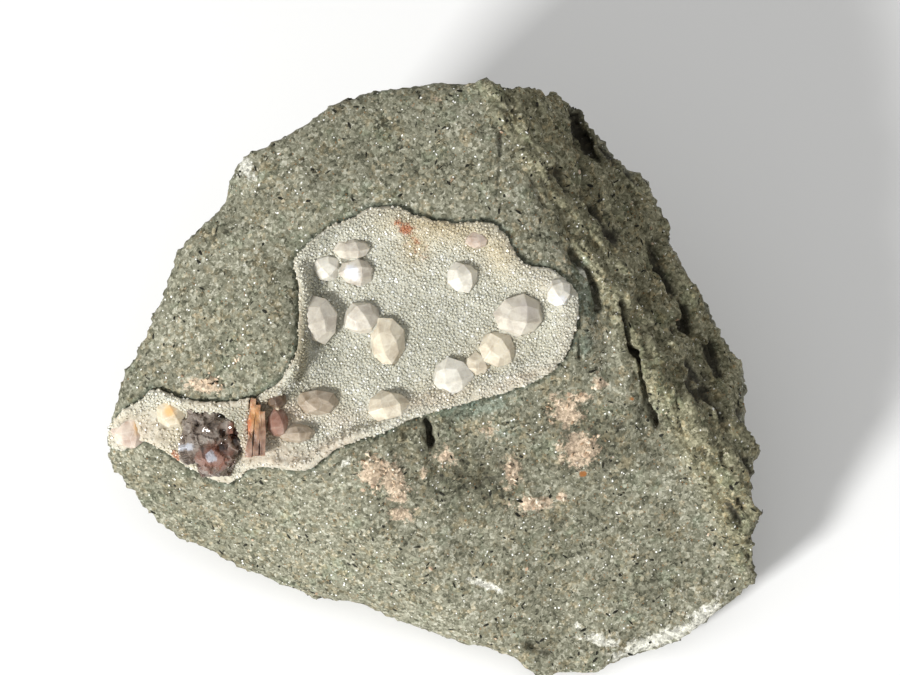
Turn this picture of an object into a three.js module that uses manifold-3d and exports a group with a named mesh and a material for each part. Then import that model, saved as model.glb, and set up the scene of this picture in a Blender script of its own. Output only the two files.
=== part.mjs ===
// A hand specimen: analcime crystals on a sugary crust in a hollow of broken basalt.
//
// The specimen is modelled flat in the frame of its crystal face, in millimetres: x to the right, y up the
// face and z out of it. It is then leaned back about x, as it lies on its broken underside, so that in the
// part's own frame +Z is up, the face leans towards -Y, and the origin is below the middle of the specimen.
import * as THREE from "three";
import { ConvexGeometry } from "three/addons/geometries/ConvexGeometry.js";
import { ConvexHull } from "three/addons/math/ConvexHull.js";
import { ImprovedNoise } from "three/addons/math/ImprovedNoise.js";
import { mergeVertices } from "three/addons/utils/BufferGeometryUtils.js";
import Module from "manifold-3d";

const wasm = await Module();
wasm.setup();

// Driving dimensions, in millimetres and degrees.
const lean = 25; // how far the crystal face leans back from level
const seat = { x: 0, y: -4.3, z: 38 }; // where the middle of the crystal face lies in the part's frame
const skinGap = 0.3; // between pieces that grew on each other
const crustThickness = 1.3;
const smallestFacet = 0.225; // relief shallower than this is flattened
const rockFineness = 32; // steps along an edge of the eight triangles that the rock's skin starts from
const mergeWithin = 1e-4; // corners nearer than this are one corner

const noise = new ImprovedNoise();
const radians = THREE.MathUtils.degToRad;
const towards = (degrees) => [Math.cos(radians(degrees)), Math.sin(radians(degrees))];
const mix = THREE.MathUtils.lerp;
const { clamp, smoothstep } = THREE.MathUtils;

// Smooth lumps of a kind, and ridges of a kind that are sharp along their crests, both between -1 and 1.
const lump = ({ size, phase }, x, y, z = 0) => noise.noise(x / size, y / size, z / size + phase);
const ridge = (kind, x, y, z = 0) => 1 - 2 * Math.abs(lump(kind, x, y, z));

// The edge of the rock as it is seen square to the crystal face, anticlockwise from the right.
const rockMiddle = [0, 0];
const rockOutline = [
  [52.8, 0], [51, 5], [49.5, 8.5], [46.5, 12.8], [44, 16], [41.9, 19.6], [39.9, 23], [39.6, 27.5],
  [37.5, 31.2], [35.1, 34.6], [31.6, 37.2], [28.9, 40.8], [26.5, 45.4], [22.3, 47.4], [17.4, 47.9],
  [13, 48.6], [8.8, 49.8], [0, 49.8], [-8.4, 48.2], [-16.6, 46], [-20.2, 43.4], [-27.4, 39], [-31.8, 37.7],
  [-33.8, 33.8],
  [-34.8, 29.2], [-37.6, 26.4], [-42.8, 21.2], [-44.4, 16], [-47.2, 9.2], [-52, 0.2], [-53.8, -4.9],
  [-55.8, -10.2], [-55.6, -14.2], [-53.2, -19.2], [-49, -23.8], [-45.8, -27.2], [-39.6, -30.2], [-32.4, -34],
  [-24.6, -37], [-14.8, -38.8], [-7.6, -41], [0, -43.2], [8.2, -46.2], [13.2, -48], [17.3, -52],
  [22.6, -52.2], [29.6, -51.6], [31, -48.8], [33, -47.2], [35.8, -46.7], [40, -47], [44.9, -45],
  [48.8, -41.2], [54, -38], [57, -33.3], [55, -29], [54.6, -24.6], [54.6, -19.4], [54.4, -10.6], [53.6, -4.8],
];

// Where the hidden walls reach the ground, in the part's frame.
const footMiddle = [4, -4];
const footOutline = [
  [47, -3], [45, 12], [36, 26], [22, 36], [4, 40.5], [-14, 39], [-27, 32], [-37, 19], [-42, 4],
  [-38, -8], [-27, -16], [-12, -23.5], [4, -31.5], [17, -37.5], [30, -39.5], [42, -34], [48, -22],
];

// The crystal side is level in the middle, `levelFace` over the crystal face, and broken off around it. Each
// break slopes down `slope` mm per mm towards an angle in the crystal face, 0 to the right and 90 up it, and
// is level with that face `from` mm out from the middle.
const levelFace = 1.2;
const breakFaces = {
  slabAbove: { angle: 112, slope: 0.2, from: 27 },
  slabLeft: { angle: 165, slope: 0.3, from: 29 },
  rightFlank: { angle: 29, slope: 1.05, from: 30.5 },
  lowerRight: { angle: -72, slope: 0.3, from: 6 },
  lowerLeftFlank: { angle: 244, slope: 0.85, from: 22 },
};
const breakRounding = 0.8; // how softly two broken faces meet

// Chips, steps and swellings of the crystal side: depth is negative where rock is missing.
const breakMarks = [
  { name: "notch under the crown", at: [25.8, 40.6], reach: [2.6, 5.8], turn: 14, depth: -8.5 },
  { name: "hollow below the notch", at: [24.6, 30.6], reach: [2.2, 5], turn: 10, depth: -2 },
  { name: "shoulder below the notch", at: [24.5, 27], reach: [3.5, 8], turn: 5, depth: -1.8 },
  { name: "swelling of the crown", at: [5, 40], reach: [9, 7], turn: 0, depth: 1.4 },
  { name: "step right of the hollow", at: [29, 9], reach: [2.4, 9], turn: 12, depth: -2.6 },
  { name: "crevice in the right flank", at: [35.6, -1], reach: [0.9, 7.5], turn: 10, depth: -4 },
  { name: "groove in the right flank", at: [44, 6], reach: [1.4, 6], turn: 30, depth: -2 },
  { name: "upper groove in the right flank", at: [36, 21], reach: [1.6, 7], turn: 24, depth: -1.6 },
  { name: "ledge in the right flank", at: [42, 15], reach: [2, 8], turn: 30, depth: 1.2 },
  { name: "crease of the crown", at: [13.5, 41], reach: [1, 6], turn: -6, depth: -1.1 },
  { name: "rough patch below the hollow", at: [8, -15], reach: [14, 6], turn: 10, depth: -1.5 },
  { name: "pit below the hollow", at: [-6, -14], reach: [3, 3], turn: 0, depth: -1.2 },
  { name: "crack at the lower rim of the hollow", at: [0, -9.2], reach: [0.8, 3], turn: 4, depth: -1.8 },
  { name: "scar at the lower edge", at: [18, -43], reach: [8, 4], turn: -10, depth: -1.2 },
  { name: "bruise at the lower right", at: [43, -38], reach: [10, 4], turn: 35, depth: -1.4 },
  { name: "lip left of the hollow", at: [-29, 8], reach: [6, 10], turn: 0, depth: 1.6 },
];

function faceted(x, y) {
  let sum = Math.exp(-levelFace / breakRounding);
  for (const { angle, slope, from } of Object.values(breakFaces)) {
    const [cos, sin] = towards(angle);
    sum += Math.exp((slope * (x * cos + y * sin - from)) / breakRounding);
  }
  return -breakRounding * Math.log(sum);
}

function markDepth(x, y) {
  let depth = 0;
  for (const mark of breakMarks) {
    const [cos, sin] = towards(mark.turn);
    const dx = x - mark.at[0];
    const dy = y - mark.at[1];
    const across = (dx * cos + dy * sin) / mark.reach[0];
    const along = (dy * cos - dx * sin) / mark.reach[1];
    depth += mark.depth * Math.exp(-(across * across + along * along));
  }
  return depth;
}

// Hackly relief of a broken basalt face: shallow on the slabs, deep below the hollow and on the right flank,
// where it is drawn out along the flank. Each kind has its height, the size of its lumps and their phase.
const relief = {
  broad: { height: 1.2, size: 13, phase: 4.2 },
  ridges: { height: 0.45, size: 8, phase: 7.7 },
  hackles: { height: 1.3, size: 4.2, phase: 8.3, onSlabs: 0.3 },
  chips: { height: 0.6, size: 2.6, phase: 1.9 },
  flankGrain: { height: 1.7, size: 5.5, drawnOut: 3.1, phase: 3.7 },
};
const roughBelowHollow = { at: [12, -16], reach: [22, 9], strength: 0.8 };
const flankEdge = [-2, 4]; // the flank takes over across this width, from where its face begins

// A place on the right flank: how far down its slope, how far along it, and how much it belongs to the flank.
function onFlank(x, y) {
  const { angle, from } = breakFaces.rightFlank;
  const [cos, sin] = towards(angle);
  const across = x * cos + y * sin;
  return { across, along: y * cos - x * sin, share: smoothstep(across - from, ...flankEdge) };
}

function hackle(x, y, z = 0) {
  const { broad, ridges } = relief;
  return broad.height * lump(broad, x, y, z) + ridges.height * ridge(ridges, x, y, z);
}

function hacklesOnFace(x, y) {
  const { hackles, chips, flankGrain } = relief;
  const { across, along, share } = onFlank(x, y);
  const { at, reach, strength } = roughBelowHollow;
  const below = strength * Math.exp(-(((x - at[0]) / reach[0]) ** 2) - ((y - at[1]) / reach[1]) ** 2);
  const rough = mix(hackles.onSlabs, 1, Math.max(share, below));
  const grain = flankGrain.height * ridge(flankGrain, across, along / flankGrain.drawnOut);
  const chipped = chips.height * Math.abs(lump(chips, x, y));
  return share * grain + rough * (hackles.height * lump(hackles, x, y) + chipped);
}

const rockFace = (x, y) => faceted(x, y) + markDepth(x, y) + hackle(x, y) + hacklesOnFace(x, y);

// How far an outline lies from a point inside it, along an angle in radians.
function reachTo(outline, [cx, cy], angle) {
  const dx = Math.cos(angle);
  const dy = Math.sin(angle);
  let found = 0;
  outline.forEach(([ax, ay], i) => {
    const [bx, by] = outline[(i + 1) % outline.length];
    const cross = (bx - ax) * dy - (by - ay) * dx;
    if (cross === 0) return;
    const share = ((ay - cy) * dx - (ax - cx) * dy) / cross;
    const far = Math.abs(dx) > Math.abs(dy)
      ? (ax + (bx - ax) * share - cx) / dx
      : (ay + (by - ay) * share - cy) / dy;
    if (share >= 0 && share < 1 && far > found) found = far;
  });
  return found;
}

// A closed skin made from an octahedral sphere: place(turn, front, away) gives the point for an angle round
// the outline, on the front or the back, from away = 0 in the middle to 1 at the rim.
function closedSkin(fineness, place) {
  const sphere = new THREE.OctahedronGeometry(1, fineness);
  sphere.deleteAttribute("normal");
  sphere.deleteAttribute("uv");
  const geometry = mergeVertices(sphere, mergeWithin);
  const points = geometry.attributes.position;
  for (let i = 0; i < points.count; i++) {
    const direction = new THREE.Vector3().fromBufferAttribute(points, i).normalize();
    const tilt = Math.acos(clamp(direction.z, -1, 1)) / (Math.PI / 2);
    const turn = Math.atan2(direction.y, direction.x);
    const front = tilt <= 1 + mergeWithin;
    points.setXYZ(i, ...place(turn, front, Math.min(front ? tilt : 2 - tilt, 1)));
  }
  return geometry;
}

function solidOf(geometry) {
  return new wasm.Manifold(
    new wasm.Mesh({
      numProp: 3,
      vertProperties: new Float32Array(geometry.attributes.position.array),
      triVerts: new Uint32Array(geometry.index.array),
    }),
  );
}

function geometryOf(solid) {
  const mesh = solid.getMesh();
  const geometry = new THREE.BufferGeometry();
  const places = new Float32Array(mesh.vertProperties);
  geometry.setAttribute("position", new THREE.BufferAttribute(places, mesh.numProp));
  geometry.setIndex(new THREE.BufferAttribute(new Uint32Array(mesh.triVerts), 1));
  geometry.computeVertexNormals();
  return geometry;
}

// From the part's frame to the frame of the crystal face.
function intoFace(x, y, z) {
  const [cos, sin] = towards(lean);
  const dy = y - seat.y;
  const dz = z - seat.z;
  return [x - seat.x, dy * cos + dz * sin, dz * cos - dy * sin];
}

// The broken rim is rounded a little. The hidden walls take the outer share of the back of the skin, swell
// out between the rim and the foot, and end in a foot that is chipped up off the ground; the rest is the
// underside, which is flat.
const rimRounding = { depth: 0.8, from: 0.93 };
const hiddenWall = { share: 0.5, swell: 1.5, height: 2.2, size: 12, phase: 0 };
const footChips = { least: 0.6, height: 1.6, width: 0.3, size: 9, phase: 3.3 };

// The rock: its crystal side, then hidden walls down to a flat broken underside.
function rockPoint(turn, front, away) {
  const reach = reachTo(rockOutline, rockMiddle, turn);
  const edge = [rockMiddle[0] + reach * Math.cos(turn), rockMiddle[1] + reach * Math.sin(turn)];
  if (front) {
    const [x, y] = rockMiddle.map((value, axis) => mix(value, edge[axis], away));
    return [x, y, rockFace(x, y) - rimRounding.depth * smoothstep(away, rimRounding.from, 1)];
  }
  const rim = [...edge, rockFace(...edge) - rimRounding.depth];
  const down = Math.min((1 - away) / hiddenWall.share, 1);
  const inwards = clamp((1 - away - hiddenWall.share) / (1 - hiddenWall.share), 0, 1);
  const footReach = reachTo(footOutline, footMiddle, turn) * (1 - inwards);
  const footX = footMiddle[0] + footReach * Math.cos(turn);
  const footY = footMiddle[1] + footReach * Math.sin(turn);
  const chipped = footChips.height * Math.max(footChips.least + lump(footChips, footX, footY), 0);
  const foot = intoFace(footX, footY, chipped * (1 - smoothstep(inwards, 0, footChips.width)));
  const [x, y, z] = rim.map((value, axis) => mix(value, foot[axis], down));
  const out = Math.sin(Math.PI * down) * (hiddenWall.swell + hiddenWall.height * lump(hiddenWall, x, y, z));
  return [x + out * Math.cos(turn), y + out * Math.sin(turn), z];
}

// The hollow, traced round its rim: a broad pocket, and a tail that runs out at the left tip of the rock.
const hollowOutline = [
  [25.2, 9.9], [25, 13.4], [23.6, 15.6], [21.4, 17.4], [19, 18.5], [16, 18.5], [14.3, 20.8], [12.8, 24],
  [10.8, 25.9], [7.1, 25.7], [1.5, 25.9], [-1.2, 26.7], [-4.7, 28.1], [-7.4, 28.7], [-10.4, 28.2],
  [-13.3, 26.4], [-16.6, 25.4], [-20.2, 22.8], [-23.4, 19.6], [-22.3, 14.6], [-22.3, 10.6], [-22.3, 5.9],
  [-22.8, 3.4], [-24.5, 0.3], [-26.2, -1.8], [-28.9, -3], [-31.4, -3.7], [-35.6, -4.4], [-40, -4],
  [-43, -3.4], [-44.7, -2.2], [-47.2, -2], [-48.9, -4], [-52.4, -5.7], [-54.4, -8], [-55.2, -10.4],
  [-54.8, -12.6], [-52.4, -13.3], [-48.4, -11.3], [-46, -12.8], [-43.3, -14.6], [-40.3, -16.6],
  [-37.3, -18.1], [-34.4, -19],
  [-32.6, -18.1], [-30.6, -16.1], [-27, -15.8], [-22.8, -16.5], [-19.3, -16], [-18.1, -14.6], [-15.5, -12.6],
  [-11.8, -11.1], [-8.1, -10.1], [-4.7, -8.4], [-0.5, -6.7], [7.1, -4.5], [12.4, -3.2], [17.6, -1.3],
  [21.8, 1.3], [23.9, 5],
];

// The bed of the hollow: a pocket whose floor rises to the right and to the top, and a shallow tail that
// takes over to the left of it. The wall is steep on the left and runs out gently to the top and right.
const pocket = { level: -2.75, rise: 0.055, climb: 0.035, climbFrom: 4, height: 0.45, size: 5, phase: 9.1 };
const tail = { depth: 2.3, height: 0.54, size: 4, phase: 5.5, takesOver: [-28, -17] };
const hollowWall = { steep: 1.5, gentle: 3.6, towardsUp: 0.6, from: -16, to: 6 };

// How closely the hollow is meshed: rings of points just inside its rim, and a field of points over the rest,
// each shifted a little so that no grid shows.
const hollowMesh = {
  rings: [
    { inset: 0, spacing: 1.9 },
    { inset: 1.1, spacing: 2 },
    { inset: 2.4, spacing: 2.3 },
  ],
  ringSlack: 0.25, // how much nearer the rim than its ring a point may lie
  field: { inset: 3.4, spacing: 2.3, height: 0.3, size: 3, phase: 6.4 },
  bowl: 100, // the points are lifted onto a bowl this wide to find their triangles
};
const lidHeight = 12; // above the crystal face and everything on it

// The crust: how far its rim stands proud, where that falls to the lining, how thin it may get, and its
// sugary lumps.
const crustShape = { proud: 0.2, rim: [0.6, 2.2], thinnest: 0.35, height: 0.3, size: 1.7, phase: 2.2 };

// Distance from a point to a closed chain of straight pieces, and the length of the chain.
function nearestOn(chain, x, y) {
  let distance = Infinity;
  let total = 0;
  chain.forEach(([ax, ay], i) => {
    const [bx, by] = chain[(i + 1) % chain.length];
    const long = Math.hypot(bx - ax, by - ay);
    const share = clamp(((x - ax) * (bx - ax) + (y - ay) * (by - ay)) / long ** 2, 0, 1);
    distance = Math.min(distance, Math.hypot(x - mix(ax, bx, share), y - mix(ay, by, share)));
    total += long;
  });
  return { distance, total };
}

// The point that lies some way round a closed chain.
function pointAlong(chain, along) {
  for (let i = 0; ; i = (i + 1) % chain.length) {
    const [ax, ay] = chain[i];
    const [bx, by] = chain[(i + 1) % chain.length];
    const long = Math.hypot(bx - ax, by - ay);
    if (along <= long) return [mix(ax, bx, along / long), mix(ay, by, along / long)];
    along -= long;
  }
}

// Depth of the bed of the hollow in the rock, `inside` mm in from its rim.
function hollowBed(x, y, inside) {
  const face = rockFace(x, y);
  const slope = pocket.rise * x + pocket.climb * Math.max(y - pocket.climbFrom, 0);
  const pocketFloor = pocket.level + slope + pocket.height * lump(pocket, x, y);
  const tailFloor = faceted(x, y) - tail.depth + tail.height * lump(tail, x, y);
  const mixedFloor = mix(tailFloor, pocketFloor, smoothstep(x, ...tail.takesOver));
  const floor = Math.min(mixedFloor, face - crustThickness - skinGap);
  const { steep, gentle, towardsUp, from, to } = hollowWall;
  const width = mix(steep, gentle, smoothstep(x + towardsUp * y, from, to));
  return mix(face, floor, smoothstep(inside, 0, width));
}

// Whether a point lies within the rim of the hollow.
function withinHollow(x, y) {
  let inside = false;
  hollowOutline.forEach(([ax, ay], i) => {
    const [bx, by] = hollowOutline[(i + 1) % hollowOutline.length];
    if (ay > y !== by > y && x < ax + ((bx - ax) * (y - ay)) / (by - ay)) inside = !inside;
  });
  return inside;
}

const insideOf = (x, y) => (withinHollow(x, y) ? nearestOn(hollowOutline, x, y).distance : 0);

// Points over the hollow: round its rim, round the rings inside the rim, and spread evenly over the rest.
function hollowPoints() {
  const points = [];
  const around = nearestOn(hollowOutline, 0, 0).total;
  for (const { inset, spacing } of hollowMesh.rings) {
    const count = Math.round(around / spacing);
    for (let i = 0; i < count; i++) {
      const [x, y] = pointAlong(hollowOutline, (i / count) * around);
      const [nextX, nextY] = pointAlong(hollowOutline, ((i + 0.5) / count) * around);
      const long = Math.hypot(nextX - x, nextY - y);
      const point = [x - (inset * (nextY - y)) / long, y + (inset * (nextX - x)) / long];
      if (inset === 0 || insideOf(...point) > inset - hollowMesh.ringSlack) points.push(point);
    }
  }
  const { field } = hollowMesh;
  const { inset, spacing } = field;
  const box = new THREE.Box2().setFromPoints(hollowOutline.map(([x, y]) => new THREE.Vector2(x, y)));
  const rowHeight = spacing * Math.sin(Math.PI / 3);
  for (let row = 0; box.min.y + row * rowHeight < box.max.y; row++)
    for (let x = box.min.x + ((row % 2) * spacing) / 2; x < box.max.x; x += spacing) {
      const y = box.min.y + row * rowHeight;
      const shifted = x + field.height * lump(field, x, y);
      if (insideOf(shifted, y) > inset) points.push([shifted, y]);
    }
  return points;
}

// Delaunay triangles between points: the underside of the hull of the points lifted onto a bowl.
function trianglesBetween(points) {
  const lifted = points.map(([x, y]) => new THREE.Vector3(x, y, (x * x + y * y) / hollowMesh.bowl));
  const order = new Map(lifted.map((point, i) => [point, i]));
  return new ConvexHull()
    .setFromPoints(lifted)
    .faces.filter((face) => face.normal.z < 0)
    .map(({ edge }) => [edge, edge.prev, edge.next].map((side) => order.get(side.head().point)))
    .filter((corners) => {
      const [x, y] = [0, 1].map((axis) => corners.reduce((sum, i) => sum + points[i][axis] / 3, 0));
      return withinHollow(x, y);
    });
}

const hollow = { points: hollowPoints() };
hollow.triangles = trianglesBetween(hollow.points);

// The bed of the hollow as one open sheet, and the same sheet raised off it by the gap that the crust keeps.
function hollowSheets() {
  const bed = hollow.points.map(([x, y]) => new THREE.Vector3(x, y, hollowBed(x, y, insideOf(x, y))));
  const geometry = new THREE.BufferGeometry().setFromPoints(bed);
  geometry.setIndex(hollow.triangles.flat());
  geometry.computeVertexNormals();
  const normals = geometry.attributes.normal;
  const raised = bed.map((point, i) =>
    new THREE.Vector3().fromBufferAttribute(normals, i).multiplyScalar(skinGap).add(point),
  );
  return { bed, raised };
}

const lidOver = (sheet) => sheet.map(({ x, y }) => new THREE.Vector3(x, y, lidHeight));

// A solid between two sheets that share the triangles of the hollow.
function betweenSheets(low, high) {
  const sides = new Map();
  for (const [a, b, c] of hollow.triangles)
    for (const [from, to] of [[a, b], [b, c], [c, a]])
      if (!sides.delete(`${to} ${from}`)) sides.set(`${from} ${to}`, [from, to]);
  const over = low.length;
  const faces = [
    ...hollow.triangles.map(([a, b, c]) => [a + over, b + over, c + over]),
    ...hollow.triangles.map(([a, b, c]) => [a, c, b]),
    ...[...sides.values()].flatMap(([a, b]) => [[a, b, b + over], [a, b + over, a + over]]),
  ];
  const geometry = new THREE.BufferGeometry().setFromPoints([...low, ...high]);
  geometry.setIndex(faces.flat());
  return solidOf(mergeVertices(geometry, mergeWithin));
}

// How high the top of the crust lies, without its grains.
function crustTop(x, y) {
  const inside = insideOf(x, y);
  const rim = rockFace(x, y) + crustShape.proud;
  const lining = hollowBed(x, y, inside - crustThickness) + crustThickness;
  return mix(rim, lining, smoothstep(inside, ...crustShape.rim));
}

// The top of the crust, lumpy and sugary, over the raised sheet of the hollow.
function crustSheet(raised) {
  return raised.map(({ x, y, z }) => {
    const top = crustTop(x, y) + crustShape.height * lump(crustShape, x, y);
    return new THREE.Vector3(x, y, Math.max(top, z + crustShape.thinnest));
  });
}

// An analcime crystal is a trapezohedron, with corners on its six axes, its twelve edges and its eight
// diagonals: how far each kind reaches along the axes that it has, on a crystal one unit across.
const cornerReach = { 1: 1 / 2, 2: 1 / 3, 3: 1 / 4 };

function trapezohedron() {
  const corners = [];
  const steps = [-1, 0, 1];
  for (const x of steps)
    for (const y of steps)
      for (const z of steps) {
        const axes = Math.abs(x) + Math.abs(y) + Math.abs(z);
        if (axes) corners.push(new THREE.Vector3(x, y, z).multiplyScalar(cornerReach[axes]));
      }
  return new ConvexGeometry(corners);
}

// A plain closed shape as a solid: turned by three angles, brought to its size in the frame of the crystal
// face, and put in its place.
function placed(geometry, position, turns, size = [1, 1, 1]) {
  geometry.applyMatrix4(new THREE.Matrix4().makeRotationFromEuler(new THREE.Euler(...turns.map(radians))));
  geometry.scale(...size);
  geometry.translate(...position);
  geometry.deleteAttribute("normal");
  geometry.deleteAttribute("uv");
  return solidOf(mergeVertices(geometry, mergeWithin));
}

// The large crystals: where each stands in the crystal face, its size across, up and out of that face, its
// turns, and how high its middle stands over the crust.
const largeCrystals = [
  { at: [-13.1, 21.2], size: [6.6, 3.9, 3.8], turns: [10, 20, 5], stand: 0.5 },
  { at: [-17.4, 18], size: [5.3, 4.8, 3.8], turns: [35, 10, 40], stand: 0.4 },
  { at: [-12.3, 17.3], size: [6.3, 4.9, 4.2], turns: [-20, 15, 10], stand: 0.5 },
  { at: [-18.8, 9.3], size: [7.2, 8.6, 6], turns: [15, -25, 20], stand: 1 },
  { at: [-11.5, 9.6], size: [6.6, 6, 4.4], turns: [40, 30, 15], stand: 0.4 },
  { at: [-7.1, 5.7], size: [6.2, 9.2, 5], turns: [25, -10, 30], stand: 0.6 },
  { at: [5.4, 16.4], size: [5.8, 5.4, 4.2], turns: [-15, 30, 25], stand: 0.4 },
  { at: [15, 10], size: [9, 7.6, 5.4], turns: [20, 15, -10], stand: 0.5 },
  { at: [11.4, 4.3], size: [6.6, 6.8, 4.4], turns: [-30, 10, 45], stand: 0.2 },
  { at: [7.9, 1.6], size: [5, 4.6, 3.6], turns: [10, 40, 5], stand: 0.1 },
  { at: [3.9, -0.4], size: [7.4, 7, 5], turns: [20, -20, 15], stand: 0.6 },
  { at: [-6.8, -5.6], size: [8.2, 6.2, 5.4], turns: [-15, 25, 20], stand: 0.6 },
  { at: [-19, -4.6], size: [7.6, 4.8, 4.6], turns: [30, 0, 45], stand: 0.4 },
  { at: [21.6, 13.8], size: [4.4, 5, 3], turns: [50, 20, 30], stand: 0.3 },
  { at: [7.8, 22.6], size: [4, 2.8, 2.2], turns: [0, 60, 25], stand: 0.3 },
  { at: [-43.6, -6.2], size: [5.6, 5.8, 3.8], turns: [10, 10, 30], stand: 0.2 },
  { at: [-51, -9], size: [6.8, 7.8, 4], turns: [25, 20, 0], stand: 0.1 },
  { at: [-25.6, -8], size: [3.8, 5, 3.6], turns: [10, 30, 20], stand: 0.3 },
  { at: [-22.6, -9.8], size: [6.6, 3.2, 3.2], turns: [0, 10, 8], stand: 0.4 },
  { at: [-25.8, -4.2], size: [3.4, 3, 2.8], turns: [20, 0, 30], stand: 0.3 },
];

// The large glassy crystal that is broken across in the tail of the hollow, and the blades beside it.
const glassyCrystal = { at: [-36.9, -11.3], size: [11.2, 13, 8.4], turns: [24, -14, 33], stand: 1.1 };
const blades = {
  at: [-29.3, -9.3],
  count: 3,
  spacing: 0.72,
  stagger: -0.5,
  size: [0.9, 9.8, 4.2],
  shorter: 0.12, // from one blade to the next
  fan: [0, 7, 3], // turn from one blade to the next
  turns: [0, 8, -2],
  stand: 0.6,
};

const standing = (at, stand) => [...at, crustTop(...at) + stand];
const joined = (solids) => solids.reduce((all, solid) => all.add(solid));

// `growth` makes a piece larger all round, for the socket that it sits in.
function glassySolid(growth) {
  const { at, size, turns, stand } = glassyCrystal;
  return placed(trapezohedron(), standing(at, stand), turns, size.map((value) => value + growth));
}

function bladesSolid(growth) {
  const { at, count, spacing, stagger, size, shorter, fan, turns, stand } = blades;
  const [wide, long, deep] = size;
  const bundle = [];
  for (let i = 0; i < count; i++) {
    const place = i - (count - 1) / 2;
    const blade = new THREE.BoxGeometry(wide + growth, long * (1 - shorter * i) + growth, deep + growth);
    const position = standing([at[0] + place * spacing, at[1] + place * stagger], stand);
    bundle.push(placed(blade, position, turns.map((turn, axis) => turn + fan[axis] * place)));
  }
  return joined(bundle);
}

// The main body of a solid, without the crumbs that a cut leaves.
function mainBody(solid) {
  return solid.decompose().reduce((most, body) => (body.volume() > most.volume() ? body : most));
}

const { bed, raised } = hollowSheets();
const room = betweenSheets(raised, lidOver(raised));
const sockets = glassySolid(2 * skinGap).add(bladesSolid(2 * skinGap));

function buildRock() {
  const hollowSpace = betweenSheets(bed, lidOver(bed));
  return mainBody(solidOf(closedSkin(rockFineness, rockPoint)).subtract(hollowSpace).simplify(smallestFacet));
}

function buildCrust() {
  const crystals = largeCrystals.map(({ at, size, turns, stand }) =>
    placed(trapezohedron(), standing(at, stand), turns, size),
  );
  const grown = betweenSheets(raised, crustSheet(raised)).add(joined(crystals).intersect(room));
  return mainBody(grown.subtract(sockets).simplify(smallestFacet));
}

const stone = (color, roughness) => new THREE.MeshStandardMaterial({ color, roughness, metalness: 0 });

function addPiece(parent, name, solid, material) {
  const mesh = new THREE.Mesh(geometryOf(solid), material);
  mesh.name = name;
  parent.add(mesh);
}

const specimen = new THREE.Group();
specimen.rotation.x = radians(lean);
specimen.position.set(seat.x, seat.y, seat.z);
addPiece(specimen, "basalt", buildRock(), stone(0x82826f, 0.9));
addPiece(specimen, "analcime_crust", buildCrust(), stone(0xd2cdbc, 0.6));
addPiece(specimen, "glassy_analcime_crystal", glassySolid(0).intersect(room), stone(0x8e6a5c, 0.15));
addPiece(specimen, "stilbite_blades", bladesSolid(0).intersect(room), stone(0xb9763f, 0.4));

const part = new THREE.Group();
part.add(specimen);

export default part;
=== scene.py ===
import itertools
import math
import bmesh
import bpy
import numpy as np
from mathutils import Euler, Matrix, Vector
from mathutils.bvhtree import BVHTree


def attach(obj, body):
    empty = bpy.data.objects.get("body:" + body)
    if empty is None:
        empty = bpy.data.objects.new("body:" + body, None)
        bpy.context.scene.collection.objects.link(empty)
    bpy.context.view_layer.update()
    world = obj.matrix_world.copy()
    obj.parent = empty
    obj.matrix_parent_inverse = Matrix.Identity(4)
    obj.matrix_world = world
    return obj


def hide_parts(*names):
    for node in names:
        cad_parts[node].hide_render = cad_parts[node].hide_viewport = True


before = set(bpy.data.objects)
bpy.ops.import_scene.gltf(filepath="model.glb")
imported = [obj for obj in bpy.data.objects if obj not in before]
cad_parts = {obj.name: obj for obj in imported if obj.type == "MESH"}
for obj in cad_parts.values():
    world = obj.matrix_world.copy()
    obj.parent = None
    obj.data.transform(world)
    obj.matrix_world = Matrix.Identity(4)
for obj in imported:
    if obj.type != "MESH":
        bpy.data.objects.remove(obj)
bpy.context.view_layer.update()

mm = 0.001

# The crystal face leans back from level about X. Face coordinates are in mm: x right, y up the face, z out
# of it.
specimen = {"lean": math.radians(25), "seat": (0.0, -4.3, 38.0)}

# The photo is 900 x 675 and looks square at the crystal face. Places on the specimen are given in its pixels.
photo = {"width": 900, "height": 675, "middle": (430, 375), "mmPerPixel": 0.168, "distance": 700.0}


def turnFace(vectors, sign):
    cos, sin = math.cos(specimen["lean"]), sign * math.sin(specimen["lean"])
    x, y, z = np.asarray(vectors, float).T
    return np.stack([x, y * cos - z * sin, y * sin + z * cos], axis=1)


def toPart(points):
    return (turnFace(points, 1) + specimen["seat"]) * mm


def toFace(points):
    return turnFace(np.asarray(points, float) / mm - specimen["seat"], -1)


# Where the camera is, in face coordinates, so that the middle of the photo looks straight at the face.
eye = np.array([
    (photo["width"] / 2 - photo["middle"][0]) * photo["mmPerPixel"],
    (photo["middle"][1] - photo["height"] / 2) * photo["mmPerPixel"],
    photo["distance"],
])


def toPhoto(face):
    scale = photo["distance"] / (eye[2] - face[:, 2]) / photo["mmPerPixel"]
    across = photo["width"] / 2 + (face[:, 0] - eye[0]) * scale
    down = photo["height"] / 2 - (face[:, 1] - eye[1]) * scale
    return np.stack([across, down], axis=1)


def smoothStep(value, low, high):
    share = np.clip((value - low) / (high - low), 0, 1)
    return share * share * (3 - 2 * share)


# A number between 0 and 1 for every whole-numbered cell, the same on each run.
def hashed(cells, seed=0):
    x, y, z = cells.T
    mixed = (x * 73856093) ^ (y * 19349663) ^ (z * 83492791) ^ (seed * 40503)
    mixed = (mixed ^ (mixed >> 13)) * 1274126177
    return ((mixed ^ (mixed >> 16)) & 0xFFFF) / 65535


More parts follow.
